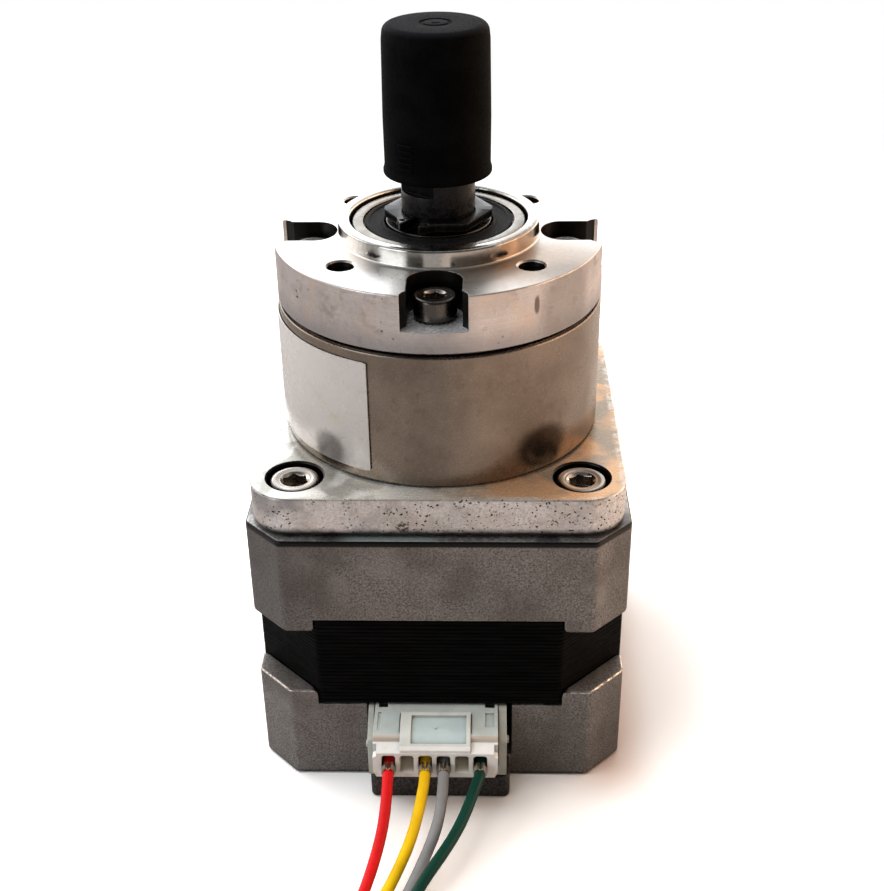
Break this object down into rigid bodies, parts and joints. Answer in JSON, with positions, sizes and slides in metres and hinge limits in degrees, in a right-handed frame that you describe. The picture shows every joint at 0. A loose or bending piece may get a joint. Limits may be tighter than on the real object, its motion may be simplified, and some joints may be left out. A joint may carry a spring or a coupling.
{
  "type": "geared stepper motor",
  "caption": "Square-bodied stepper motor with a planetary reduction gearbox, round output flange, capped output shaft and a plug-in lead connector.",
  "frame": {"origin": "centre of the motor's flat rear face", "axes": "+Z along the output shaft, away from the motor; -Y towards the lead connector; +X to the right when the connector faces the viewer"},
  "size_m": [0.0422, 0.0749, 0.082],
  "materials": {
    "black_plastic": "moulded",
    "black_rubber": "matte",
    "bright_steel": "ground",
    "cast_housing": "cast",
    "circuit_board": "solder mask",
    "copper": "enamelled",
    "dark_steel": "black oxide",
    "gear_steel": "hobbed",
    "green_insulation": "extruded",
    "grey_insulation": "extruded",
    "label_film": "satin film",
    "laminations": "matte black",
    "machined_metal": "machined satin",
    "magnet": "sintered",
    "nickel_housing": "satin nickel",
    "red_insulation": "extruded",
    "screw_steel": "plated",
    "tin": "tin plated",
    "white_nylon": "moulded",
    "yellow_insulation": "extruded"
  },
  "bodies": {
    "housing": {"rear_end_cap": "cast_housing", "front_end_cap": "cast_housing", "stator_core": "laminations", "rear_insulator": "black_plastic", "front_insulator": "black_plastic", "winding_phase_a": "copper", "winding_phase_b": "copper", "rear_bearing_outer_ring": "bright_steel", "front_bearing_outer_ring": "bright_steel", "output_bearing_outer_ring": "bright_steel", "output_bearing_seal": "black_rubber", "wave_washer": "bright_steel", "motor_screw_1": "screw_steel", "motor_screw_2": "screw_steel", "motor_screw_3": "screw_steel", "motor_screw_4": "screw_steel", "plate_screw_1": "screw_steel", "plate_screw_2": "screw_steel", "plate_screw_3": "screw_steel", "plate_screw_4": "screw_steel", "flange_screw_1": "screw_steel", "flange_screw_2": "screw_steel", "flange_screw_3": "screw_steel", "flange_screw_4": "screw_steel", "adapter_plate": "machined_metal", "ring_gear_housing": "nickel_housing", "output_flange": "machined_metal", "label": "label_film", "connector_header": "white_nylon", "connector_board": "circuit_board", "connector_plug": "white_nylon", "terminal_red": "tin", "terminal_yellow": "tin", "terminal_grey": "tin", "terminal_green": "tin", "lead_red": "red_insulation", "lead_yellow": "yellow_insulation", "lead_grey": "grey_insulation", "lead_green": "green_insulation"},
    "rotor": {"motor_shaft": "bright_steel", "sun_gear": "gear_steel", "rotor_core_rear": "gear_steel", "rotor_core_front": "gear_steel", "rotor_magnet": "magnet", "rear_bearing_inner_ring": "bright_steel", "front_bearing_inner_ring": "bright_steel"},
    "output": {"output_shaft": "dark_steel", "planet_carrier": "gear_steel", "planet_pin_1": "bright_steel", "planet_pin_2": "bright_steel", "planet_pin_3": "bright_steel", "output_bearing_inner_ring": "bright_steel", "retaining_ring": "dark_steel", "shaft_cap": "black_rubber"},
    "planet_1": {"planet_gear_1": "gear_steel"},
    "planet_2": {"planet_gear_2": "gear_steel"},
    "planet_3": {"planet_gear_3": "gear_steel"},
    "rear_cage": {"rear_bearing_ball_cage": "bright_steel"},
    "front_cage": {"front_bearing_ball_cage": "bright_steel"},
    "output_cage": {"output_bearing_ball_cage": "bright_steel"}
  },
  "joints": [
    {"name": "rotor_spin", "type": "hinge", "parent": "housing", "child": "rotor", "pos_m": [0, 0, 0.0166], "axis": [0, 0, 1], "continuous": true},
    {"name": "output_spin", "type": "hinge", "parent": "housing", "child": "output", "pos_m": [0, 0, 0.0585], "axis": [0, 0, 1], "continuous": true},
    {"name": "planet_1_spin", "type": "hinge", "parent": "output", "child": "planet_1", "pos_m": [0, 0.00765, 0.0437], "axis": [0, 0, 1], "continuous": true},
    {"name": "planet_2_spin", "type": "hinge", "parent": "output", "child": "planet_2", "pos_m": [-0.00663, -0.00382, 0.0437], "axis": [0, 0, 1], "continuous": true},
    {"name": "planet_3_spin", "type": "hinge", "parent": "output", "child": "planet_3", "pos_m": [0.00663, -0.00382, 0.0437], "axis": [0, 0, 1], "continuous": true},
    {"name": "rear_cage_spin", "type": "hinge", "parent": "housing", "child": "rear_cage", "pos_m": [0, 0, 0.0053], "axis": [0, 0, 1], "continuous": true},
    {"name": "front_cage_spin", "type": "hinge", "parent": "housing", "child": "front_cage", "pos_m": [0, 0, 0.0305], "axis": [0, 0, 1], "continuous": true},
    {"name": "output_cage_spin", "type": "hinge", "parent": "housing", "child": "output_cage", "pos_m": [0, 0, 0.05845], "axis": [0, 0, 1], "continuous": true}
  ],
  "couplings": [
    {"joint": "output_spin", "follows": "rotor_spin", "ratio": 0.23529},
    {"joint": "planet_1_spin", "follows": "rotor_spin", "ratio": -0.70588},
    {"joint": "planet_2_spin", "follows": "rotor_spin", "ratio": -0.70588},
    {"joint": "planet_3_spin", "follows": "rotor_spin", "ratio": -0.70588},
    {"joint": "rear_cage_spin", "follows": "rotor_spin", "ratio": 0.39524},
    {"joint": "front_cage_spin", "follows": "rotor_spin", "ratio": 0.39524},
    {"joint": "output_cage_spin", "follows": "rotor_spin", "ratio": 0.097603}
  ]
}
